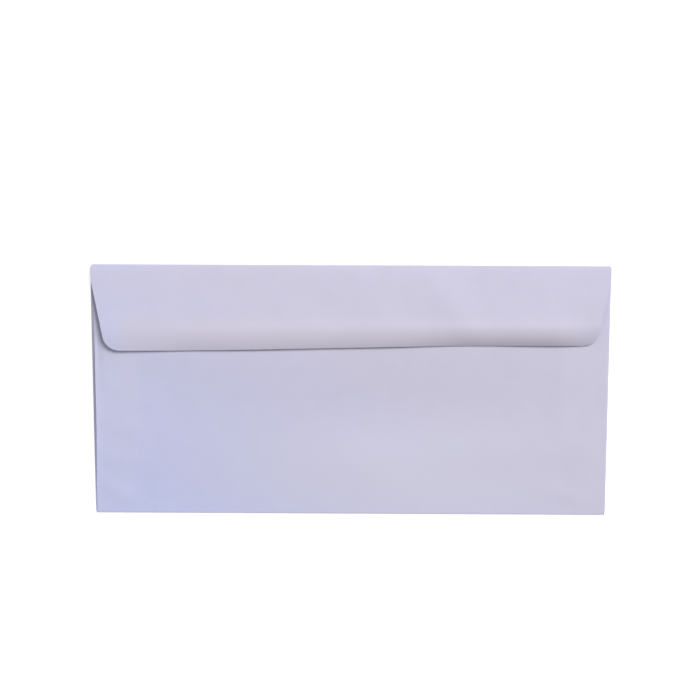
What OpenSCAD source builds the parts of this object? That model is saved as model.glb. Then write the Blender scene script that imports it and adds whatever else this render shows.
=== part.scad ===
// Long wallet envelope of white paper, empty, with its seal flap folded down but not stuck.
// It lies on its address side. X runs along the long side, +Y points to the fold of the seal
// flap and +Z is up, out of the flap side. The origin is the middle of the footprint, on the
// surface that the envelope lies on. The paper is one blank: address panel, bottom fold and
// back panel, two side folds with their side flaps, and top fold with the seal flap.

/* [Envelope] */
// Width, between the two side folds
env_w = 220; // [180:1:260]
// Height, from the bottom fold to the top fold
env_h = 110; // [95:1:140]
// Thickness of the paper
paper_t = 0.12; // [0.08:0.01:0.2]

/* [Seal flap] */
// Depth of the flap, from the top fold to its free edge
flap_h = 37; // [32:1:45]
// Length next to the top fold on which the flap keeps its full width
flap_shoulder = 6; // [3:0.5:10]
// How far each side of the flap draws in, from the shoulder to the free edge
flap_taper = 6; // [3:0.5:12]
// Radius of the two free corners of the flap
flap_corner_r = 7.3; // [4:0.1:12]
// How high the flap has sprung up from the top fold, at the inner line of the gum
flap_rise = 2.4; // [2:0.1:3.5]
// Gap under the free edge of the flap
flap_edge_gap = 0.35; // [0.3:0.05:1]
// How late the gummed zone curls down: 2 is an even curve, more keeps it flat for longer
flap_curl = 2; // [1.6:0.1:3]

/* [Pocket] */
// Distance of the back panel's upper edge, the throat, from the top fold
throat_drop = 12; // [8:1:20]
// How far the side edges of the back panel stand in from the side folds
panel_inset = 0.9; // [0.6:0.1:4]
// Width of the side flaps, from the side fold to their inner edge
side_flap_w = 20; // [14:1:30]
// Slant of the side flaps' ends, in degrees
side_flap_slant = 25; // [10:1:40]
// How far the side folds stop short of the top and bottom folds
corner_relief = 1.6; // [1:0.1:3]
// How far the blank is cut in at each end of the top fold
top_cut = 1.2; // [0.6:0.1:1.8]
// How far the blank is cut in at each end of the bottom fold
bottom_cut = 0.5; // [0.3:0.1:1.2]

/* [Loft] */
// Gap inside a folded edge where the paper lies tightest
tight_gap = 0.2; // [0.1:0.05:0.4]
// How much wider the side folds stand open half way up
side_spring = 0.7; // [0.2:0.1:1.2]
// How far the middle of the back panel bulges above its seams
panel_loft = 0.8; // [0.2:0.1:1.2]
// Gap inside the top fold
top_fold_gap = 0.7; // [0.5:0.1:2.4]

/* [Glue and gum] */
// Width of the glue line on each side flap
glue_w = 12; // [6:0.5:16]
// Distance of the glue line from the back panel's side edge
glue_edge = 1.5; // [0.5:0.1:3]
// Thickness of the dried glue
glue_t = 0.04; // [0.02:0.01:0.06]
// Width of the gum strip on the seal flap
gum_w = 12; // [8:0.5:15]
// Distance of the gum strip from the free edge of the flap
gum_edge = 1.5; // [1:0.1:3]
// How far the gum ends short of the rounded corners
gum_end = 1.6; // [1:0.1:6]
// Thickness of the dried gum
gum_t = 0.05; // [0.03:0.01:0.08]

/* [Hidden] */

paper_colour = [0.8, 0.79, 0.87];
glue_colour = [0.9, 0.88, 0.78];
gum_colour = [0.86, 0.8, 0.7];

// Steps of the paper's surface
fold_steps = 8;
panel_rows = 22;
throat_rows = 2;
panel_cols = 18;
shoulder_rows = 3;
flap_rows = 6;
gum_rows = 9;
edge_rows = 3;

// How far each fold reaches into the address panel, so that the blank is one sheet
fold_lap = 0.4;

half_w = env_w / 2;
half_h = env_h / 2;

// Outer radii of the bottom and top folds, and the lines where the panels leave them
bottom_fold_r = (3 * paper_t + glue_t + tight_gap) / 2;
top_fold_r = paper_t + top_fold_gap / 2;
y_bottom = -half_h + bottom_fold_r;
y_top = half_h - top_fold_r;
y_side_lo = y_bottom + corner_relief;
y_side_hi = y_top - corner_relief;
y_throat = half_h - throat_drop;

// Outline of the seal flap, measured down from the top fold
taper_angle = atan(flap_taper / (flap_h - flap_shoulder));
corner_x = half_w - flap_taper - flap_corner_r * (1 - sin(taper_angle)) / cos(taper_angle);
corner_d = flap_h - flap_corner_r;
gum_d0 = flap_h - gum_edge - gum_w;
gum_d1 = flap_h - gum_edge;

// Inner edge of the side flaps, where the panel's bulge ends, and end of the gum
seam_x = half_w - side_flap_w;
gum_x = corner_x - gum_end;

function spread(from, to, steps, first = 0) =
    [for (k = [first : steps]) from + (to - from) * k / steps];
function flat(rows) = [for (row = rows) each row];
function backwards(list) = [for (k = [len(list) - 1 : -1 : 0]) list[k]];

// Cross lines of the side flaps, up to the throat and past it: the panels share them
pocket_lines = spread(y_side_lo, y_throat, panel_rows);
side_lines = concat(pocket_lines, spread(y_throat, y_side_hi, throat_rows, 1));

// Distances from the top fold at which the seal flap is drawn: the gum shares the middle ones
gum_lines = spread(gum_d0, gum_d1, gum_rows);
flap_lines = concat(
    spread(top_fold_r, flap_shoulder, shoulder_rows),
    spread(flap_shoulder, gum_d0, flap_rows, 1),
    [for (k = [1 : gum_rows]) gum_lines[k]],
    [for (k = [1 : edge_rows]) gum_d1 + gum_edge * sin(90 * k / edge_rows)]);

// Long lines of the back panel and the flap, from left to right, between their side edges
inner_lines = spread(-min(seam_x, gum_x), min(seam_x, gum_x), panel_cols);
x_lines = concat([-max(seam_x, gum_x)], inner_lines, [max(seam_x, gum_x)]);

// How far up the envelope a line lies: 0 at the bottom fold, 1 at the top fold
function climb(y) = (y - y_bottom) / (y_top - y_bottom);

// Angle of the sine along which the back panel bulges: it is still high at the throat
loft_turn = 135;
function side_gap(y) = tight_gap + side_spring * pow(sin(180 * climb(y)), 2);
function side_fold_r(y) = paper_t + side_gap(y) / 2;
function bulge(x) = pow(max(0, 1 - pow(x / seam_x, 2)), 2);

// Heights of the two faces of the back panel
function panel_under(x, y) =
    2 * paper_t + side_gap(y) + glue_t + panel_loft * sin(loft_turn * climb(y)) * bulge(x);
function panel_top(x, y) = panel_under(x, y) + paper_t;

// Half widths of the side flaps' inner edge and of the seal flap
function side_flap_edge(y) =
    let (from_end = min(y - y_side_lo, y_side_hi - y))
    half_w - min(side_flap_w, 2 * paper_t + tight_gap + corner_relief + from_end / tan(side_flap_slant));
function flap_edge(d) =
    d < corner_relief ? half_w - top_cut * (1 - sqrt(1 - pow(1 - d / corner_relief, 2)))
    : d < flap_shoulder ? half_w
    : d < corner_d + flap_corner_r * sin(taper_angle)
        ? half_w - (d - flap_shoulder) * tan(taper_angle)
    : corner_x + sqrt(max(0, pow(flap_corner_r, 2) - pow(d - corner_d, 2)));

// Height of the seal flap's under face: it rises straight from the fold, over the throat. Gone on
// like that, its free edge would lie at straight_z, but the gummed zone curls away down to edge_z.
function flap_under(x, d) =
    let (
        fold_z = 2 * top_fold_r - paper_t,
        along = (d - top_fold_r) / (gum_d0 - top_fold_r),
        into_gum = max(0, d - gum_d0) / (flap_h - gum_d0),
        straight_z = fold_z + flap_rise * (flap_h - top_fold_r) / (gum_d0 - top_fold_r),
        edge_z = panel_top(x, half_h - flap_h) + flap_edge_gap)
    fold_z + flap_rise * along - (straight_z - edge_z) * pow(into_gum, flap_curl);

// Sheet of paper between an outer and an inner face, both given as rows of points
module sheet(outer, inner) {
    rows = len(outer);
    cols = len(outer[0]);
    shift = rows * cols;
    last_r = rows - 1;
    last_c = cols - 1;
    function at(r, c) = r * cols + c;
    polyhedron(
        points = concat(flat(outer), flat(inner)),
        faces = concat(
            flat([for (r = [0 : last_r - 1], c = [0 : last_c - 1]) [
                [at(r, c), at(r, c + 1), at(r + 1, c + 1)],
                [at(r, c), at(r + 1, c + 1), at(r + 1, c)],
                [at(r, c) + shift, at(r + 1, c + 1) + shift, at(r, c + 1) + shift],
                [at(r, c) + shift, at(r + 1, c) + shift, at(r + 1, c + 1) + shift]]]),
            flat([for (c = [0 : last_c - 1]) [
                [at(0, c + 1), at(0, c), at(0, c) + shift, at(0, c + 1) + shift],
                [at(last_r, c), at(last_r, c + 1), at(last_r, c + 1) + shift, at(last_r, c) + shift]]]),
            flat([for (r = [0 : last_r - 1]) [
                [at(r, 0), at(r + 1, 0), at(r + 1, 0) + shift, at(r, 0) + shift],
                [at(r + 1, last_c), at(r, last_c), at(r, last_c) + shift, at(r + 1, last_c) + shift]]])),
        convexity = 6);
}

// Flat panel that carries the address, on the surface that the envelope lies on
module address_panel() {
    right = concat(
        [[half_w - bottom_cut, y_bottom]],
        [for (y = side_lines) [half_w - side_fold_r(y), y]],
        [[half_w - top_cut, y_top]]);
    left = [for (point = backwards(right)) [-point[0], point[1]]];
    linear_extrude(paper_t) polygon(concat(right, left));
}

// Side fold and side flap at the right: the fold stands open most half way up
module side_flap() {
    function face(depth) =
        [for (y = side_lines)
            let (r = side_fold_r(y), x = half_w - r, in_x = side_flap_edge(y))
            concat(
                [[x - fold_lap, y, depth]],
                [for (a = spread(0, 180, fold_steps))
                    [x + (r - depth) * sin(a), y, r - (r - depth) * cos(a)]],
                [[in_x, y, 2 * r - depth]])];
    sheet(face(0), face(paper_t));
}

// Bottom fold and back panel, up to the throat
module back_panel() {
    fold_edge = half_w - bottom_cut;
    edge = half_w - panel_inset;
    function row(side) = concat([side], backwards(x_lines), [-side]);
    function face(depth) = concat(
        [[for (x = row(fold_edge - fold_lap)) [x, y_bottom + fold_lap, depth]]],
        [for (a = spread(0, 180, fold_steps))
            [for (x = row(fold_edge))
                [x, y_bottom - (bottom_fold_r - depth) * sin(a),
                    bottom_fold_r - (bottom_fold_r - depth) * cos(a)]]],
        [for (y = pocket_lines)
            [for (x = row(edge)) [x, y, panel_top(x, y) - depth]]]);
    sheet(face(0), face(paper_t));
}

// Top fold and seal flap
module seal_flap() {
    function row(side) = concat([-side], x_lines, [side]);
    function face(depth) = concat(
        [[for (x = row(half_w - top_cut - fold_lap)) [x, y_top - fold_lap, depth]]],
        [for (a = spread(0, 180 - 180 / fold_steps, fold_steps - 1))
            let (edge = flap_edge(a > 90 ? top_fold_r * (1 - sin(a)) : 0))
            [for (x = row(edge))
                [x, y_top + (top_fold_r - depth) * sin(a),
                    top_fold_r - (top_fold_r - depth) * cos(a)]]],
        [for (d = flap_lines)
            [for (x = row(flap_edge(d))) [x, half_h - d, flap_under(x, d) + paper_t - depth]]]);
    sheet(face(0), face(paper_t));
}

module envelope() {
    color(paper_colour) {
        union() {
            address_panel();
            side_flap();
            mirror([1, 0, 0]) side_flap();
            back_panel();
            seal_flap();
        }
    }
}

// Line of glue between the right side flap and the back panel
module seam_glue() {
    x_out = half_w - panel_inset - glue_edge;
    x_in = x_out - glue_w;
    lines = [for (k = [0 : panel_rows - 1]) if (side_flap_edge(pocket_lines[k]) < x_in) pocket_lines[k]];
    function face(lift) =
        [for (y = lines)
            let (z = 2 * paper_t + side_gap(y) + lift)
            [[x_out, y, z], [x_in, y, z]]];
    color(glue_colour) sheet(face(glue_t), face(0));
}

module seam_glue_right() {
    seam_glue();
}

module seam_glue_left() {
    mirror([1, 0, 0]) seam_glue();
}

// Gum strip on the under face of the seal flap, on the same lines as the paper above it
module seal_gum() {
    columns = gum_x > seam_x ? x_lines : inner_lines;
    function face(drop) =
        [for (d = gum_lines)
            [for (x = columns) [x, half_h - d, flap_under(x, d) - drop]]];
    color(gum_colour) sheet(face(0), face(gum_t));
}

envelope();
seam_glue_left();
seam_glue_right();
seal_gum();
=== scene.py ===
# %% [markdown]
# # A paper wallet envelope
#
# The envelope is one sheet of white paper. Its plain side, where the address goes, lies on the
# table. A narrow flap turns in at each side, the long panel turns up from the bottom edge and is
# glued onto them, and the seal flap turns down over the open mouth. Nothing in it is stiff, so it
# never lies quite flat: the folds spring open a little, the pocket bulges, and the gummed zone of
# the flap curls. Those small slopes are all that the eye has to read on white paper, so this
# lesson spends its effort on them and keeps the rest plain.

# %% Load the fixed frame
import math

import bmesh
import bpy
import numpy as np
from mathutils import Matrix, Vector


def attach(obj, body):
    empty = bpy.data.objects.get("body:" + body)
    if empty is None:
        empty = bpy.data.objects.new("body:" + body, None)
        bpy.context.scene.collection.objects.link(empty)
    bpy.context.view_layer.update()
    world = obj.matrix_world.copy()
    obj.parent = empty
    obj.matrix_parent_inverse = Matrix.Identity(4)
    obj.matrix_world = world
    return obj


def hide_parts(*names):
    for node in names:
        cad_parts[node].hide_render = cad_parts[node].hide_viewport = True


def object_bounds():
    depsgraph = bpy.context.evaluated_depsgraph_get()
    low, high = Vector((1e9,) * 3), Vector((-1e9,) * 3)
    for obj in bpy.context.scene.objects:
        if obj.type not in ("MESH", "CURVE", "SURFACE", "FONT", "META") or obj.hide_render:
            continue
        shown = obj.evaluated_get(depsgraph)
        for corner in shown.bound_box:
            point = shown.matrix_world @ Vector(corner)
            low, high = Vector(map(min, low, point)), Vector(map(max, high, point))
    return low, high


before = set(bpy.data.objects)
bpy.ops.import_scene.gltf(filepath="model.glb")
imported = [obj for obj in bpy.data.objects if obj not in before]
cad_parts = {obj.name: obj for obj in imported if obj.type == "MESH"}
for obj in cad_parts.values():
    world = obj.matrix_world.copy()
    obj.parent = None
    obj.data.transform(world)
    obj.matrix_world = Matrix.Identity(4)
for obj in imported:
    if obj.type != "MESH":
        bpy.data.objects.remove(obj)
cad_box = [[float(v) for v in corner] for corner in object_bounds()]
print("solid model from", cad_box[0], "to", cad_box[1])

# %% [markdown]
# ## Sizes
#
# A paper maker thinks in millimetres, and Blender counts in metres. All sizes below are written
# in millimetres, and one factor turns them into metres when a mesh is made. Length and width are
# the solid model's own. X runs along the envelope, Y points to the fold of the seal flap and Z is
# up. Distances on the flap are counted down from the top fold, as they are when a flap is cut.

# %% Sizes of the blank
MM = 0.001
half_w, half_h = [round(side / MM, 3) for side in cad_box[1][:2]]
paper_t = 0.12
flap_depth = 37.0
flap_shoulder, flap_taper, flap_corner_r = 6.0, 6.0, 7.3
throat_depth = 12.0
throat_y = half_h - throat_depth
panel_inset = 0.9
side_flap_w, side_flap_slant = 20.0, 25.0

# The blank is cut in a little at the ends of the top fold and of the bottom fold
corner_relief, top_cut = 1.6, 1.2
bottom_relief, bottom_cut = 0.7, 0.2

# Thickness of the films, and the place of the gum on the flap
glue_t, gum_t = 0.04, 0.05
gum_start, gum_stop, gum_reach = 23.5, 35.5, 97.0

# Room inside a fold that is held shut, outer radii of the bottom and top folds, and the lines
# where the panels leave them
shut_gap = 0.2
bottom_fold_r = (3 * paper_t + glue_t + shut_gap) / 2
top_fold_r = 0.42
y_bottom, y_top = -half_h + bottom_fold_r, half_h - top_fold_r
y_side_lo, y_side_hi = y_bottom + bottom_relief, y_top - corner_relief
seam_x = half_w - side_flap_w
print(f"envelope {2 * half_w:.0f} x {2 * half_h:.0f} mm")
print(f"top fold {2 * top_fold_r:.2f} mm high, bottom fold {2 * bottom_fold_r:.2f} mm high")

# %% [markdown]
# ## How the empty pocket stands
#
# Paper that has been creased wants to open again. The side folds are held shut at their ends by
# the top and bottom folds, so they stand open most half way up. A sine says that, raised to a
# power a little above one, which keeps the ends tight. The left fold has sprung open more than
# the right one, and it leans: its upper edge stands further in than its lower one. The panel
# between the two seams bulges a little more. Each height is a small function of the place on the
# envelope, because then every sheet, glue line and gum strip can ask for the same height and will
# lie on its neighbour.

# %% Heights of the side folds and the back panel
spring_left, spring_right, spring_power = 1.3, 0.35, 1.4
left_lean = 1.1
panel_loft, loft_turn = 0.7, math.radians(135)


def climb(y):
    """How far up y is, from 0 at the bottom fold to 1 at the top fold."""
    return (y - y_bottom) / (y_top - y_bottom)


def side_gap(x, y):
    """Room inside the side folds, blended from the left fold to the right one."""
    to_right = np.clip(0.5 + x / (2 * seam_x), 0, 1)
    spring = spring_left + (spring_right - spring_left) * to_right
    return shut_gap + spring * np.sin(np.pi * np.clip(climb(y), 0, 1)) ** spring_power


def side_fold_r(side, y):
    """Outer radius of the side fold. side is -1 at the left and 1 at the right."""
    return paper_t + side_gap(side * half_w, y) / 2


def side_fold_point(side, y, turn):
    """X and Z on the outside of the side fold, turned from 0 below to pi on top."""
    r = side_fold_r(side, y)
    sprung = (side_gap(side * half_w, y) - shut_gap) / spring_left
    lean = left_lean * sprung if side < 0 else 0.0
    inset = r * (1 - math.sin(turn)) + lean / 2 * (1 - math.cos(turn))
    outermost = r + lean / 2 - math.hypot(r, lean / 2)
    return side * (half_w - inset + outermost), r - r * math.cos(turn)


def pocket_bulge(x, y):
    """How far the back panel bulges between the seams, most at two thirds of the way up."""
    across = np.clip(1 - (x / seam_x) ** 2, 0, None) ** 2
    return panel_loft * np.sin(loft_turn * climb(y)) * across


print(f"side folds {2 * side_fold_r(-1, 0.0):.2f} and {2 * side_fold_r(1, 0.0):.2f} mm high")

# %% [markdown]
# ## Swells and puckers
#
# Handling leaves shallow swells in the large panels, and wet glue shrinks as it dries and
# puckers the seams into short slanting waves. Noise would put them anywhere. Here each swell and
# each pucker is one soft mound, given as a centre, a half length and a half width, the way
# it is turned and its height. Most are a few tenths of a millimetre high, because under a low
# lamp even a tenth shows. The highest fills out the corner beside the flap's left edge. The
# height of the back panel is then one sum: the sheets below it, the gap, the bulge and the swells.

# %% Soft mounds and soft steps


def mound(x, y, spot):
    """Soft mound: centre x, y, half length, half width, turn in degrees, height."""
    cx, cy, length, width, turn, height = spot
    c, s = math.cos(math.radians(turn)), math.sin(math.radians(turn))
    along, across = (x - cx) * c + (y - cy) * s, -(x - cx) * s + (y - cy) * c
    return height * np.exp(-(along / length) ** 2 - (across / width) ** 2)


def ease(t):
    """0 below 0, 1 above 1, and a soft rise between them."""
    t = np.clip(t, 0, 1)
    return t * t * (3 - 2 * t)


def step(v, start, length):
    """Soft step from 0 at start to 1 at start + length."""
    return ease((v - start) / length)


def window(v, lo, hi, soft):
    """1 between lo and hi, falling softly to 0 over soft on each side."""
    return ease((v - lo) / soft + 0.5) * ease((hi - v) / soft + 0.5)


print("soft step a quarter of the way:", step(0.25, 0, 1))

# %% Swells of the back panel
# Hollows and swells of the whole panel, then puckers of the left and of the right seam
panel_swells = [
    (5, -8, 80, 16, 3, -0.5),
    (4, -33, 24, 12, -25, 0.2),
    (58, -27, 50, 10, 2, 0.28),
    (-60, 4, 24, 12, 8, -0.12),
    (-78, 20, 34, 15, 0, 0.6),
    (-102, 33, 9, 13, 0, 0.7),
]
panel_swells += [
    (-101, -45, 13, 3.5, -32, 0.1),
    (-98, -31, 12, 3.5, -10, 0.07),
    (-101, -15, 15, 5, -14, 0.11),
    (-103, 3, 10, 3, -26, 0.06),
    (-88, -6, 14, 4, -18, 0.04),
]
panel_swells += [
    (94, -47, 16, 4, -25, 0.1),
    (100, 6, 12, 4, 28, 0.07),
    (102, -14, 11, 3.5, 36, 0.05),
]

# The folds hold the paper flat, so the swells fade out before them
swell_bottom, bottom_fade = y_bottom + 5, 8
swell_side, side_fade = 106.5, 4


def panel_swell(x, y):
    """Height of all the back panel's swells at a point."""
    swell = sum(mound(x, y, spot) for spot in panel_swells)
    off_bottom = window(y, swell_bottom, math.inf, bottom_fade)
    off_sides = window(x, -swell_side, swell_side, side_fade)
    return swell * off_bottom * off_sides


print(len(panel_swells), "swells on the back panel")

# %% Height of the back panel
# Its cut edge at the left lifts: by how much, and the steps outwards and upwards
edge_lift, lift_out, lift_up = 0.12, (107.3, 1.2), (y_bottom + 5, 20)


def panel_top(x, y):
    """Height of the back panel's outer face."""
    base = 3 * paper_t + glue_t + side_gap(x, y) + pocket_bulge(x, y)
    free_edge = edge_lift * step(-x, *lift_out) * step(y, *lift_up)
    return base + panel_swell(x, y) + free_edge


print(f"back panel {panel_top(0.0, 0.0):.2f} mm high in the middle")

# %% Swells of the flap
# A slanting ridge in two parts, a fainter ridge to the left of it, and two hollows
flap_swells = [
    (42, 39, 18, 6, -57, 0.27),
    (28, 43.5, 14, 6, -40, 0.13),
    (12, 39, 17, 8, -60, 0.14),
    (-10, 36, 12, 8, -60, -0.08),
    (26, 33, 10, 7, -60, -0.05),
]


def flap_swell(x, y):
    """Height of all the flap's swells at a point."""
    return sum(mound(x, y, spot) for spot in flap_swells)


print(len(flap_swells), "swells on the flap")

# %% [markdown]
# ## The shape of the seal flap
#
# The flap leaves its fold at a slope of about five degrees, a little steeper in the first two
# millimetres, where the crease itself wants to open, and rises nearly straight. Then comes the
# gummed zone, where the dried gum has shrunk on the under side: the paper cups there, so it rises
# a little steeper at first and curls down to the free edge. What the eye reads on white paper is
# the slope, not the height, so the flap is drawn as slopes, each added up from the fold by a
# small formula. The curl is weak at the left, where the corner stands off the panel, and strong
# at the right. The gum ends short of the corners, and there the flap lies flatter and droops at
# the right. A soft floor keeps the flap off the panel. The free edge isn't quite parallel to the
# fold: the flap is a good two millimetres deeper at the left.

# %% Slopes of the seal flap
# Slope at the crease, what is added before the gum, and the slope of the curl at the left end.
# Each pair is a soft step across the flap: where it starts and how long it is.
crease_slope, crease_loss, crease_step = 0.087, 0.012, (82, 22)
lip_slope, lip_step = 0.035, (-100, 45)
curl_slope = 0.155
curl_gains = [(0.195, -105, 45), (0.03, -50, 60), (0.2, 8, 50)]
corner_step, corner_loss = (84, 22), 0.35


def flap_slopes(x):
    """Slope at the crease, how much steeper it gets before the gum, and the curl's slope."""
    corner = step(x, *corner_step)
    crease = crease_slope - crease_loss * step(x, *crease_step)
    lip = lip_slope * step(x, *lip_step) * (1 - corner)
    curl = curl_slope + sum(gain * step(x, start, length) for gain, start, length in curl_gains)
    return crease, lip, curl * (1 - corner_loss * corner)


left_curl, right_curl = flap_slopes(-half_w)[2], flap_slopes(half_w / 2)[2]
print(f"curl slope {left_curl:.2f} at the left and {right_curl:.2f} at the right")

# %% Height of the seal flap
crease_spring, crease_reach = 0.1, 1.6
curl_start, lip_length = 26.3, 6
curl_length = flap_depth - curl_start
swell_fade = 4
droop, droop_across, droop_down = 0.55, (86, 20), (12, 22)
hover, floor_soft, floor_down = 0.06, 0.05, (14, 8)


def ease_sum(t):
    """What ease(t) adds up to from 0 to t."""
    inside = np.clip(t, 0, 1)
    return inside ** 3 - inside ** 4 / 2 + np.clip(t - 1, 0, None)


def flap_top(x, d):
    """Height of the flap's upper face, d down from the top fold."""
    crease, lip, curl = flap_slopes(x)
    from_fold = d - top_fold_r
    height = 2 * top_fold_r + crease * from_fold
    height = height + crease_spring * crease_reach * (1 - np.exp(-from_fold / crease_reach))
    height = height + lip * lip_length * ease_sum((d - curl_start + lip_length) / lip_length)
    height = height - curl * np.clip(d - curl_start, 0, None) ** 2 / (2 * curl_length)
    height = height + flap_swell(x, half_h - d) * np.clip(from_fold / swell_fade, 0, 1)
    height = height - droop * step(x, *droop_across) * step(d, *droop_down)
    lowest = panel_top(x, half_h - d) + paper_t + hover
    pushed_up = floor_soft * np.log1p(np.exp((lowest - height) / floor_soft))
    return height + pushed_up * step(d, *floor_down)


crest_d = 28.5
for x in (-95, -50, 0, 50, 95):
    above = flap_top(x, flap_depth) - paper_t - panel_top(x, half_h - flap_depth)
    crest = flap_top(x, crest_d)
    print(f"x {x}: free edge {above:.2f} mm above the panel, crest {crest:.2f} mm high")

# %% Outline of the seal flap
taper_angle = math.atan(flap_taper / (flap_depth - flap_shoulder))
corner_inset = flap_corner_r * (1 - math.sin(taper_angle)) / math.cos(taper_angle)
corner_x = half_w - flap_taper - corner_inset
corner_d = flap_depth - flap_corner_r

# The flap is deeper at the left: what is added there, what is lost to the right, and where
left_extra, right_loss, loss_step = 0.1, 2.4, (-90, 150)


def flap_edge(d):
    """Half width of the flap, d down from the top fold."""
    if d < corner_relief:
        return half_w - top_cut * (1 - math.sqrt(1 - (1 - d / corner_relief) ** 2))
    if d < flap_shoulder:
        return half_w
    if d < corner_d + flap_corner_r * math.sin(taper_angle):
        return half_w - (d - flap_shoulder) * math.tan(taper_angle)
    return corner_x + math.sqrt(max(0.0, flap_corner_r ** 2 - (d - corner_d) ** 2))


def skewed(x, d):
    """Y of a point on the flap: its free edge slants up to the right."""
    depth = flap_depth + left_extra - right_loss * step(x, *loss_step)
    return half_h - d * (1 + (depth / flap_depth - 1) * np.clip(d / flap_depth, 0, 1))


print(f"flap drawn in by {math.degrees(taper_angle):.1f} degrees at each side")

# %% [markdown]
# ## From rows of points to a sheet
#
# The blank could be a flat mesh that is folded with hooks or bones, or a cloth simulation. Both
# are hard to aim at a tenth of a millimetre. Rows of points worked out from the height functions
# land exactly where they should. The blank is a cross: the address panel in the middle and a
# panel on each side of it. Each arm is a grid of rows and columns, all with the same sense of
# turning, and where two arms share a fold line their points are equal, so they can be merged.

# %% Grids into one mesh


def add_grid(bm, grid, marks):
    """Adds a grid of points in millimetres. marks is (gummed, painted light) at each point."""
    gummed = bm.verts.layers.float.get("gummed") or bm.verts.layers.float.new("gummed")
    painted_light = bm.verts.layers.float.get("painted_light") or bm.verts.layers.float.new("painted_light")
    rows = []
    for points, line in zip(grid, marks):
        row = []
        for point, mark in zip(points, line):
            vert = bm.verts.new(Vector(point) * MM)
            vert[gummed], vert[painted_light] = mark
            row.append(vert)
        rows.append(row)
    for low, high in zip(rows, rows[1:]):
        for a, b, c, d in zip(low, high, high[1:], low[1:]):
            bm.faces.new((a, b, c, d))


def plain_marks(grid):
    """Marks of a grid that is neither gummed nor backed."""
    return [[(0.0, 0.0)] * len(row) for row in grid]


print("marks of a grid of two points:", plain_marks([[0, 0]]))

# %% From a mesh to an object
merge_distance = 1e-6


def as_object(bm, name):
    """Merges points that lie in one place and makes a named object of the mesh."""
    bmesh.ops.remove_doubles(bm, verts=bm.verts, dist=merge_distance)
    mesh = bpy.data.meshes.new(name)
    bm.to_mesh(mesh)
    bm.free()
    piece = bpy.data.objects.new(name, mesh)
    bpy.context.scene.collection.objects.link(piece)
    return piece


print("points less than", merge_distance / MM, "mm apart are merged")

# %% [markdown]
# ## Columns and rows
#
# The columns stand a good 2 mm apart in the middle and 1 mm apart at the sides, where the seams
# pucker. Only the outer ones fan in to follow the edge of each panel. The rows of the address
# panel are shared by the side flaps.

# %% Columns and rows
middle_columns, side_columns, fold_points = 82, 19, 13
rows_below_throat, rows_above_throat = 40, 5
middle = np.linspace(-seam_x, seam_x, middle_columns)
below_throat = np.linspace(y_side_lo, throat_y, rows_below_throat)
above_throat = np.linspace(throat_y, y_side_hi, rows_above_throat)
side_rows = np.concatenate([below_throat, above_throat[1:]])
fold_angles = np.radians(np.linspace(0, 180, fold_points))


def columns(edge, left_edge=None):
    """X of every column of a row that ends at edge, or at another width at the left."""
    right = np.linspace(seam_x, edge, side_columns)[1:]
    left = np.linspace(seam_x, left_edge or edge, side_columns)[1:]
    return np.concatenate([-left[::-1], middle, right])


print(len(columns(half_w)), "columns, and", len(side_rows), "rows on the side flaps")

# %% [markdown]
# ## The address panel and the side flaps
#
# The address panel is flat, because it lies on the table. At each side the paper turns through
# half a circle, whose radius grows with the gap inside the fold, and runs back in as the side
# flap. At the left the half circle leans inwards. The left fold is also the wider one, so the
# columns of the address panel end further in there. The side flap's ends slant, so that it
# doesn't show at the corners, and it follows the puckers of the panel that is glued to it.

# %% Address panel
blank = bmesh.new()
panel_rows = [(y_bottom, columns(half_w - bottom_cut))]
for y in side_rows:
    right_end, left_end = side_fold_point(1, y, 0.0)[0], -side_fold_point(-1, y, 0.0)[0]
    panel_rows.append((y, columns(right_end, left_end)))
panel_rows.append((y_top, columns(half_w - top_cut)))
address = [[(x, y, 0.0) for x in xs] for y, xs in panel_rows]
add_grid(blank, address, plain_marks(address))
print("address panel with", len(address) * len(address[0]), "points")

# %% Side flaps
side_flap_points = 20


def side_flap_edge(y):
    """Distance of the side flap's cut edge from the middle of the envelope."""
    from_end = min(y - y_side_lo, y_side_hi - y)
    slant = from_end / math.tan(math.radians(side_flap_slant))
    reach = 2 * paper_t + shut_gap + corner_relief + slant
    return half_w - min(side_flap_w, reach)


def side_flap_top(side, x, y):
    """Height of the side flap's outer face, which the glue lies on."""
    return 2 * side_fold_r(side, y) + panel_swell(x, y)


def side_flap_row(side, y):
    """One row of points, round the side fold and inwards to the flap's edge."""
    row = []
    for turn in fold_angles:
        x, z = side_fold_point(side, y, turn)
        row.append((x, y, z))
    run = np.linspace(row[-1][0], side * side_flap_edge(y), side_flap_points)[1:]
    return row + [(x, y, side_flap_top(side, x, y)) for x in run]


right_flap = [side_flap_row(1, y) for y in side_rows]
left_flap = [side_flap_row(-1, y)[::-1] for y in side_rows]
add_grid(blank, right_flap, plain_marks(right_flap))
add_grid(blank, left_flap, plain_marks(left_flap))
print("side flaps with", len(right_flap) * len(right_flap[0]), "points each")

# %% [markdown]
# ## The bottom fold and the back panel
#
# The back panel carries most of what the eye sees, so its rows are a millimetre apart. It stops
# at the throat, under the seal flap, and at each side a little short of the fold. Along its left
# edge, past the glue, it lifts by a tenth of a millimetre, which draws the thin dark line there.
# A second value is stored at each point, which paints light into the paper's colour: a little
# over a side flap, where two sheets let less of the pocket's shade show through, and most in a
# painted pool of light in the lower middle.

# %% Bottom fold
bottom_fold = []
for a in fold_angles:
    y, z = y_bottom - bottom_fold_r * math.sin(a), bottom_fold_r - bottom_fold_r * math.cos(a)
    bottom_fold.append([(x, y, z) for x in columns(half_w - bottom_cut)])
print("bottom fold with", len(bottom_fold), "rows")

# %% Back panel
back_row_count = 98
left_inset, left_draw, draw_up = 0.6, 0.6, (-50, 40)


def left_panel_edge(y):
    """Distance of the left cut edge from the middle: it is drawn in above the bottom corner."""
    return half_w - left_inset - left_draw * step(y, *draw_up)


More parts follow.
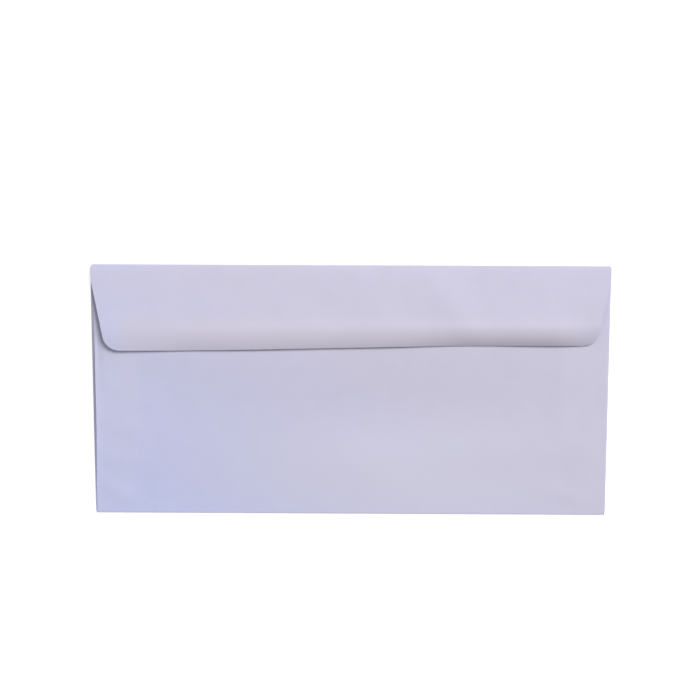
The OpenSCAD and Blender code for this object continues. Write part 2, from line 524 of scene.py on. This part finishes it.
back = []
for y in np.linspace(y_side_lo, throat_y, back_row_count):
    xs = columns(half_w - panel_inset, left_panel_edge(y))
    back.append(list(zip(xs, np.full_like(xs, y), panel_top(xs, y))))
pocket = list(reversed(bottom_fold + back))

# A painted pool of light in the lower middle, as a mound of height 1, and the painted light over a
# side flap
light_pool_spot = (22, -38, 70, 22, -2, 1.0)
side_flap_light, backing_fade = 0.3, 5


def painted_light_at(x, y):
    """How much light is painted into a point of the back panel, 0 to 1."""
    reach = side_flap_edge(min(max(y, y_side_lo), y_side_hi))
    over_side_flap = side_flap_light * ease((abs(x) - reach) / backing_fade + 0.5)
    return float(max(over_side_flap, mound(x, y, light_pool_spot)))


add_grid(blank, pocket, [[(0.0, painted_light_at(x, y)) for x, y, z in row] for row in pocket])
print("back panel", round(max(z for row in back for _, _, z in row), 2), "mm high at most")

# %% [markdown]
# ## The top fold and the seal flap
#
# The rows crowd together towards the free edge, where the corners turn. The paper over the gum
# gets a value of its own, because the gum tints it from below.

# %% Top fold
top_fold = []
for a in fold_angles[:-1]:
    edge = flap_edge(top_fold_r * (1 - math.sin(a)) if a > math.pi / 2 else 0.0)
    y, z = y_top + top_fold_r * math.sin(a), top_fold_r - top_fold_r * math.cos(a)
    top_fold.append([(x, y, z) for x in columns(edge)])
print("top fold with", len(top_fold), "rows")

# %% Seal flap
shoulder_rows, middle_rows, gummed_rows, corner_rows = 8, 22, 14, 22
turn_start = corner_d + 1.0
crowding = np.sin(np.radians(np.linspace(0, 90, corner_rows)))
flap_rows = np.concatenate([
    np.linspace(top_fold_r, flap_shoulder, shoulder_rows),
    np.linspace(flap_shoulder, gum_start, middle_rows)[1:],
    np.linspace(gum_start, turn_start, gummed_rows)[1:],
    turn_start + (flap_depth - turn_start) * crowding[1:]])
flap = []
for d in flap_rows:
    xs = columns(flap_edge(d))
    flap.append(list(zip(xs, skewed(xs, d), flap_top(xs, d))))


gum_tint_down, gum_tint_side = (gum_start - 4, 7), 6


def gumming(x, d):
    """How much the gum tints a point of the flap from below, 0 to 1."""
    return float(step(d, *gum_tint_down) * window(x, -gum_reach, gum_reach, gum_tint_side))


flap_marks = plain_marks(top_fold)
flap_marks += [[(gumming(p[0], d), 0.0) for p in row] for row, d in zip(flap, flap_rows)]
add_grid(blank, top_fold + flap, flap_marks)
print("flap", round(max(z for row in flap for _, _, z in row), 2), "mm high at most")

# %% [markdown]
# ## Paper has a thickness
#
# So far the blank is a skin: the outer face of the paper. The Solidify modifier adds the inner
# face, one paper thickness inside, and the cut edges. The modifier is then applied, so that the
# cut edges can be marked sharp: paper bends smoothly but is cut square.

# %% Thickness
envelope = as_object(blank, "folded_paper")
thickness = envelope.modifiers.new("paper thickness", "SOLIDIFY")
thickness.thickness = paper_t * MM
thickness.offset = -1.0
bpy.context.view_layer.update()
solid = envelope.evaluated_get(bpy.context.evaluated_depsgraph_get())
envelope.data = bpy.data.meshes.new_from_object(solid)
envelope.modifiers.clear()
print("folded paper with", len(envelope.data.polygons), "faces")

# %% Cut edges


def soften(piece, sharp_degrees=40):
    """Shades a piece smooth, with sharp edges at steep angles, and counts its open edges."""
    bm = bmesh.new()
    bm.from_mesh(piece.data)
    for face in bm.faces:
        face.smooth = True
    for edge in bm.edges:
        if edge.is_manifold:
            edge.smooth = edge.calc_face_angle() < math.radians(sharp_degrees)
    loose = [e for e in bm.edges if not e.is_manifold]
    bm.to_mesh(piece.data)
    bm.free()
    return len(loose)


print("open edges of the paper:", soften(envelope))

# %% [markdown]
# ## Glue lines and the gum strip
#
# The two glue lines lie sealed between the side flaps and the back panel, and the dried gum sits
# on the under face of the seal flap. Both are thin films on paper that is already shaped, so each
# is two grids, a film's thickness apart, that ask the same height functions as the paper.

# %% A film between two grids


def film(name, lower, upper):
    """Closed film between two grids of points with the same rows and columns."""
    bm = bmesh.new()
    add_grid(bm, upper[::-1], plain_marks(upper))
    add_grid(bm, lower, plain_marks(lower))
    for low, high in ((lower[0], upper[0]), (upper[-1], lower[-1])):
        add_grid(bm, [high, low], plain_marks([high, low]))
    for col in (0, -1):
        low, high = [row[col] for row in lower], [row[col] for row in upper]
        wall = [low, high] if col == 0 else [high, low]
        add_grid(bm, wall, plain_marks(wall))
    piece = as_object(bm, name)
    print(name, "has", soften(piece), "open edges")
    return piece


# %% Glue lines
glue_in, glue_out, glue_columns = 94.7, 106.7, 13
glue_top = throat_y - 3
glue_rows = [y for y in side_rows if y < glue_top and side_flap_edge(y) < glue_in]


def glue_line(name, side):
    """The film on one side flap. side is -1 at the left and 1 at the right."""
    xs = side * np.linspace(glue_in, glue_out, glue_columns)[::side]
    lower = [[(x, y, side_flap_top(side, x, y)) for x in xs] for y in glue_rows]
    upper = [[(x, y, z + glue_t) for x, y, z in row] for row in lower]
    return film(name, lower, upper)


glue_left, glue_right = glue_line("glue_line_left", -1), glue_line("glue_line_right", 1)
print(f"glue lines {glue_out - glue_in:.0f} mm wide and {glue_rows[-1] - glue_rows[0]:.0f} mm long")

# %% Gum strip
gum_columns, gum_row_count = 130, 18
gum_xs = np.linspace(-gum_reach, gum_reach, gum_columns)
gum_rows = np.linspace(gum_stop, gum_start, gum_row_count)


def gum_face(drop):
    """Grid of points on the flap's under face, or drop below it."""
    return [list(zip(gum_xs, skewed(gum_xs, d), flap_top(gum_xs, d) - paper_t - drop))
            for d in gum_rows]


gum = film("gum_strip", gum_face(gum_t), gum_face(0.0))
print("gum strip", [round(v / MM, 1) for v in gum.dimensions], "mm")

# %% [markdown]
# ## The paper
#
# White wove paper isn't one white. Its fibres lie in small clouds, a few millimetres across and
# hardly lighter or darker than each other, and the surface has a fine tooth that keeps it matt.
# One noise texture makes the clouds and a finer one the specks, both as small changes of
# lightness, and a third one, finer still, makes the tooth as bump. A cool light is painted over
# the sheet: the white is bluer and a little darker at the lower left, where bluish light falls,
# and nearly neutral at the right; the dot product of the place with a slanting direction gives
# that. The two stored values tint the gummed zone a little warmer and paint light into the
# paper: a little lighter where another sheet backs it, most in a pool in the lower middle. All of
# it uses object coordinates, so that nothing stretches over the folds.

# %% Helpers: a material, noise and a remapped value


def new_material(name):
    """A node material, with its nodes, its links and its surface shader."""
    material = bpy.data.materials.new(name)
    material.use_nodes = True
    nodes, links = material.node_tree.nodes, material.node_tree.links
    return material, nodes, links, nodes["Principled BSDF"]


def noise(nodes, links, coords, size_mm, detail=3.0, roughness=0.55):
    """Noise whose features are about size_mm across."""
    node = nodes.new("ShaderNodeTexNoise")
    node.inputs["Scale"].default_value = 1.0 / (size_mm * MM)
    node.inputs["Detail"].default_value = detail
    node.inputs["Roughness"].default_value = roughness
    links.new(coords, node.inputs["Vector"])
    return node.outputs["Fac"]


def remap(nodes, links, value, lo, hi, to_lo=0.0, to_hi=1.0):
    """Value stretched from lo..hi to to_lo..to_hi, and held at the ends."""
    node = nodes.new("ShaderNodeMapRange")
    node.inputs["From Min"].default_value = lo
    node.inputs["From Max"].default_value = hi
    node.inputs["To Min"].default_value = to_lo
    node.inputs["To Max"].default_value = to_hi
    links.new(value, node.inputs["Value"])
    return node.outputs["Result"]


# Noise stays near a half, so one of these parts of its range is stretched to 0..1
narrow_range, wide_range = (0.35, 0.65), (0.3, 0.7)
print("noise is stretched from", narrow_range, "or", wide_range)

# %% Helpers: colours


def linear(red, green, blue):
    """Colour as a picture editor shows it, 0 to 255, in Blender's linear values."""
    return tuple(((v / 255 + 0.055) / 1.055) ** 2.4 for v in (red, green, blue))


def blend_colour(nodes, links, factor, a, b):
    """Mix of two colours or sockets by a factor socket."""
    node = nodes.new("ShaderNodeMix")
    node.data_type = "RGBA"
    links.new(factor, node.inputs["Factor"])
    for socket, value in ((node.inputs[6], a), (node.inputs[7], b)):
        if isinstance(value, tuple):
            socket.default_value = (*value, 1.0)
        else:
            links.new(value, socket)
    return node.outputs[2]


def lighten(nodes, links, colour, factor, lo, hi):
    """Colour made darker or lighter, lo to hi times as light, as factor goes from 0 to 1."""
    node = nodes.new("ShaderNodeHueSaturation")
    links.new(colour, node.inputs["Color"])
    links.new(remap(nodes, links, factor, 0, 1, lo, hi), node.inputs["Value"])
    return node.outputs["Color"]


print("mid grey 188 is", round(linear(188, 188, 188)[0], 2), "in linear values")

# %% Helpers: stored values and bump


def attribute(nodes, name):
    """The value stored at each point under this name."""
    node = nodes.new("ShaderNodeAttribute")
    node.attribute_name = name
    return node.outputs["Fac"]


def bump(nodes, links, surface, height, strength, distance_mm):
    """Fine relief on a surface, drawn by a height socket."""
    node = nodes.new("ShaderNodeBump")
    node.inputs["Strength"].default_value = strength
    node.inputs["Distance"].default_value = distance_mm * MM
    links.new(height, node.inputs["Height"])
    links.new(node.outputs["Normal"], surface.inputs["Normal"])


print("values stored on the paper:", [layer.name for layer in envelope.data.attributes
                                      if layer.name in ("gummed", "painted_light")])

# %% White of the sheet, with painted cool light
# Painted cool light: the white is bluer and a little darker at the lower left and nearly neutral at
# the right
blue_lit_white, plain_white = linear(193, 199, 236), linear(200, 198, 220)
drift_direction, drift_start, drift_end = (1.0, 1.6, 0.0), -165 * MM, 20 * MM
paper, nodes, links, surface = new_material("white wove paper")
coords = nodes.new("ShaderNodeTexCoord").outputs["Object"]
diagonal = nodes.new("ShaderNodeVectorMath")
diagonal.operation = "DOT_PRODUCT"
diagonal.inputs[1].default_value = drift_direction
links.new(coords, diagonal.inputs[0])
drift = remap(nodes, links, diagonal.outputs["Value"], drift_start, drift_end)
sheet_with_cool_light = blend_colour(nodes, links, drift, blue_lit_white, plain_white)
print("paper drifts from", [round(v, 2) for v in blue_lit_white], "to",
      [round(v, 2) for v in plain_white])

# %% Fibres
cloud_size, speck_size, speck_detail = 9.0, 1.1, 4.0
darker, lighter = 0.99, 1.01
cloud_noise = noise(nodes, links, coords, cloud_size)
speck_noise = noise(nodes, links, coords, speck_size, speck_detail)
clouds = remap(nodes, links, cloud_noise, *narrow_range)
specks = remap(nodes, links, speck_noise, *wide_range)
cloudy_colour = lighten(nodes, links, sheet_with_cool_light, clouds, darker, lighter)
fibre_colour = lighten(nodes, links, cloudy_colour, specks, darker, lighter)
print(f"fibre clouds {cloud_size} mm and specks {speck_size} mm across")

# %% Painted light where the paper is backed, and paper that is gummed
# Painted light: the paper is lighter over the side flaps and most in a pool in the lower middle
painted_light_white, gummed_white = linear(210, 209, 228), linear(204, 199, 212)
most_painted_light, most_gummed = 0.7, 0.45
painted_light = remap(nodes, links, attribute(nodes, "painted_light"), 0, 1, 0, most_painted_light)
painted_light_colour = blend_colour(nodes, links, painted_light, fibre_colour, painted_light_white)
gummed = remap(nodes, links, attribute(nodes, "gummed"), 0, 1, 0, most_gummed)
final_colour = blend_colour(nodes, links, gummed, painted_light_colour, gummed_white)
links.new(final_colour, surface.inputs["Base Color"])
print("tints of at most", most_painted_light, "and", most_gummed)

# %% Paper's surface
smoothest, roughest, shine = 0.82, 0.92, 0.25
tooth_size, tooth_detail, tooth_grain = 0.45, 5.0, 0.65
tooth_strength, tooth_height = 0.12, 0.02
rough = remap(nodes, links, specks, 0, 1, smoothest, roughest)
links.new(rough, surface.inputs["Roughness"])
surface.inputs["Specular IOR Level"].default_value = shine
tooth = noise(nodes, links, coords, tooth_size, tooth_detail, tooth_grain)
bump(nodes, links, surface, tooth, tooth_strength, tooth_height)
envelope.data.materials.clear()
envelope.data.materials.append(paper)
print("paper material with", len(nodes), "nodes")

# %% [markdown]
# ## Dried glue and gum
#
# The seam glue dries to a dull, milky film. The flap's gum is meant to be licked: it is clear to
# straw-coloured, smoother than the paper, and so it shines softly, with fine streaks from the
# roller that laid it along the strip.

# %% Glue finish
film_size, glue_rough = 2.5, (0.5, 0.62)
milky_dark, milky_light = linear(226, 221, 200), linear(236, 232, 214)
glue, nodes, links, surface = new_material("dried seam glue")
coords = nodes.new("ShaderNodeTexCoord").outputs["Object"]
film_tone = remap(nodes, links, noise(nodes, links, coords, film_size), *narrow_range)
milky = blend_colour(nodes, links, film_tone, milky_dark, milky_light)
links.new(milky, surface.inputs["Base Color"])
links.new(remap(nodes, links, film_tone, 0, 1, *glue_rough), surface.inputs["Roughness"])
for piece in (glue_left, glue_right):
    piece.data.materials.append(glue)
print("finish:", glue.name)

# %% Gum finish
streak_size, streak_stretch = 0.9, (0.12, 1.0, 1.0)
ripple_strength, ripple_height, gum_rough = 0.2, 0.02, (0.3, 0.42)
straw_dark, straw_light = linear(214, 202, 178), linear(224, 214, 194)
gum_finish, nodes, links, surface = new_material("dried envelope gum")
coords = nodes.new("ShaderNodeTexCoord").outputs["Object"]
stretch = nodes.new("ShaderNodeMapping")
stretch.inputs["Scale"].default_value = streak_stretch
links.new(coords, stretch.inputs["Vector"])
streak_noise = noise(nodes, links, stretch.outputs["Vector"], streak_size)
streaks = remap(nodes, links, streak_noise, *wide_range)
straw = blend_colour(nodes, links, streaks, straw_dark, straw_light)
links.new(straw, surface.inputs["Base Color"])
links.new(remap(nodes, links, streaks, 0, 1, *gum_rough), surface.inputs["Roughness"])
bump(nodes, links, surface, streaks, ripple_strength, ripple_height)
gum.data.materials.append(gum_finish)
print("finish:", gum_finish.name)

# %% [markdown]
# ## The table
#
# The picture has a plain white ground. A white sheet of mesh under the envelope takes the soft
# shadow. The Light Path node tells which kind of ray asks for the colour: rays to the eye find a
# little light added, so that the table reads as white, and rays that only carry light from one
# surface to the next find none, so that no more light falls on the paper.

# %% Which rays see a colour


def seen_by_eye(nodes, links):
    """1 where the camera sees a surface, straight or in a gloss, and 0 where light only falls."""
    rays = nodes.new("ShaderNodeLightPath")
    either = nodes.new("ShaderNodeMath")
    either.operation = "MAXIMUM"
    links.new(rays.outputs["Is Camera Ray"], either.inputs[0])
    links.new(rays.outputs["Is Glossy Ray"], either.inputs[1])
    return either.outputs["Value"]


print("rays that count as the eye: straight ones and those in a gloss")

# %% Floor
pure_white = (1, 1, 1, 1)
table_width, table_drop = 6.0, 0.02 * MM
table_white, table_rough, eye_light = (0.75, 0.75, 0.76, 1), 0.9, 0.65
bpy.ops.mesh.primitive_plane_add(size=table_width, location=(0, 0, -table_drop))
floor = bpy.context.object
floor.name = "table_top"
ground, nodes, links, surface = new_material("white table")
surface.inputs["Base Color"].default_value = table_white
surface.inputs["Roughness"].default_value = table_rough
surface.inputs["Specular IOR Level"].default_value = 0.0
surface.inputs["Emission Color"].default_value = pure_white
added = remap(nodes, links, seen_by_eye(nodes, links), 0, 1, 0, eye_light)
links.new(added, surface.inputs["Emission Strength"])
floor.data.materials.append(ground)
print("floor", floor.dimensions[0], "m wide")

# %% [markdown]
# ## Light
#
# Shallow relief shows only when light skims it. One large lamp stands low at the upper right, so
# slopes that face it brighten and the curl of the flap goes dark, and an even sky, a touch warmer
# than the lamp, fills the shadows to about two fifths. Beyond the edge of the table the eye meets
# plain white instead of the sky, by the same switch as on the table.

# %% Lamp


def area_lamp(name, toward, distance, size, colour, level):
    """Disk lamp that lights a level sheet at the middle of the table to the given level."""
    data = bpy.data.lights.new(name, "AREA")
    data.shape = "DISK"
    data.size = size
    data.color = colour
    data.energy = level * math.pi ** 2 * distance ** 2 / toward.z
    lamp = bpy.data.objects.new(name, data)
    bpy.context.scene.collection.objects.link(lamp)
    lamp.location = toward * distance
    lamp.rotation_euler = (-toward).to_track_quat("-Z", "Y").to_euler()


upper_right = Vector((1.0, 1.3, 1.0)).normalized()
lamp_distance, lamp_size, lamp_colour, lamp_level = 6.0, 2.8, (1.0, 0.99, 0.985), 0.63
area_lamp("low lamp", upper_right, lamp_distance, lamp_size, lamp_colour, lamp_level)
print(f"low lamp {math.degrees(math.asin(upper_right.z)):.0f} degrees above the table")

# %% Sky
sky_colour, sky_level = (1.0, 0.975, 0.94, 1), 0.39
sky = bpy.data.worlds.new("pale sky")
bpy.context.scene.world = sky
sky.use_nodes = True
nodes, links = sky.node_tree.nodes, sky.node_tree.links
daylight = nodes["Background"]
daylight.inputs["Color"].default_value = sky_colour
daylight.inputs["Strength"].default_value = sky_level
backdrop = nodes.new("ShaderNodeBackground")
backdrop.inputs["Color"].default_value = pure_white
either = nodes.new("ShaderNodeMixShader")
links.new(seen_by_eye(nodes, links), either.inputs[0])
links.new(daylight.outputs[0], either.inputs[1])
links.new(backdrop.outputs[0], either.inputs[2])
links.new(either.outputs[0], nodes["World Output"].inputs["Surface"])
print("sky level", sky_level)

# %% [markdown]
# ## Camera
#
# The four corners of the envelope in the picture fix the camera: a long lens, a metre above the
# table and some way beyond the top fold, looking back down at it, so that the top edge looks
# longer than the bottom one.

# %% Camera
camera_place, camera_turn = (12.5, 277.6, 1031.8), (-14.13, 0.725, 0.077)
camera_lens, sensor_width = 128.6, 36.0
camera_data = bpy.data.cameras.new("camera")
camera_data.sensor_width = sensor_width
camera_data.lens = camera_lens
camera = bpy.data.objects.new("camera", camera_data)
bpy.context.scene.collection.objects.link(camera)
camera.location = Vector(camera_place) * MM
camera.rotation_euler = [math.radians(turn) for turn in camera_turn]
bpy.context.scene.camera = camera
bpy.context.scene.view_settings.view_transform = "Standard"
print(f"lens {camera_data.lens:.1f} mm")

# %% [markdown]
# ## Hand the pieces to the frame
#
# Every piece rides on the one rigid body and stands for its solid, which is hidden.

# %% Frame
for piece, node, slot in (
        (envelope, "envelope", "paper"),
        (glue_left, "seam_glue_left", "glue"),
        (glue_right, "seam_glue_right", "glue"),
        (gum, "seal_gum", "gum")):
    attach(piece, "root")
    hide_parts(node)
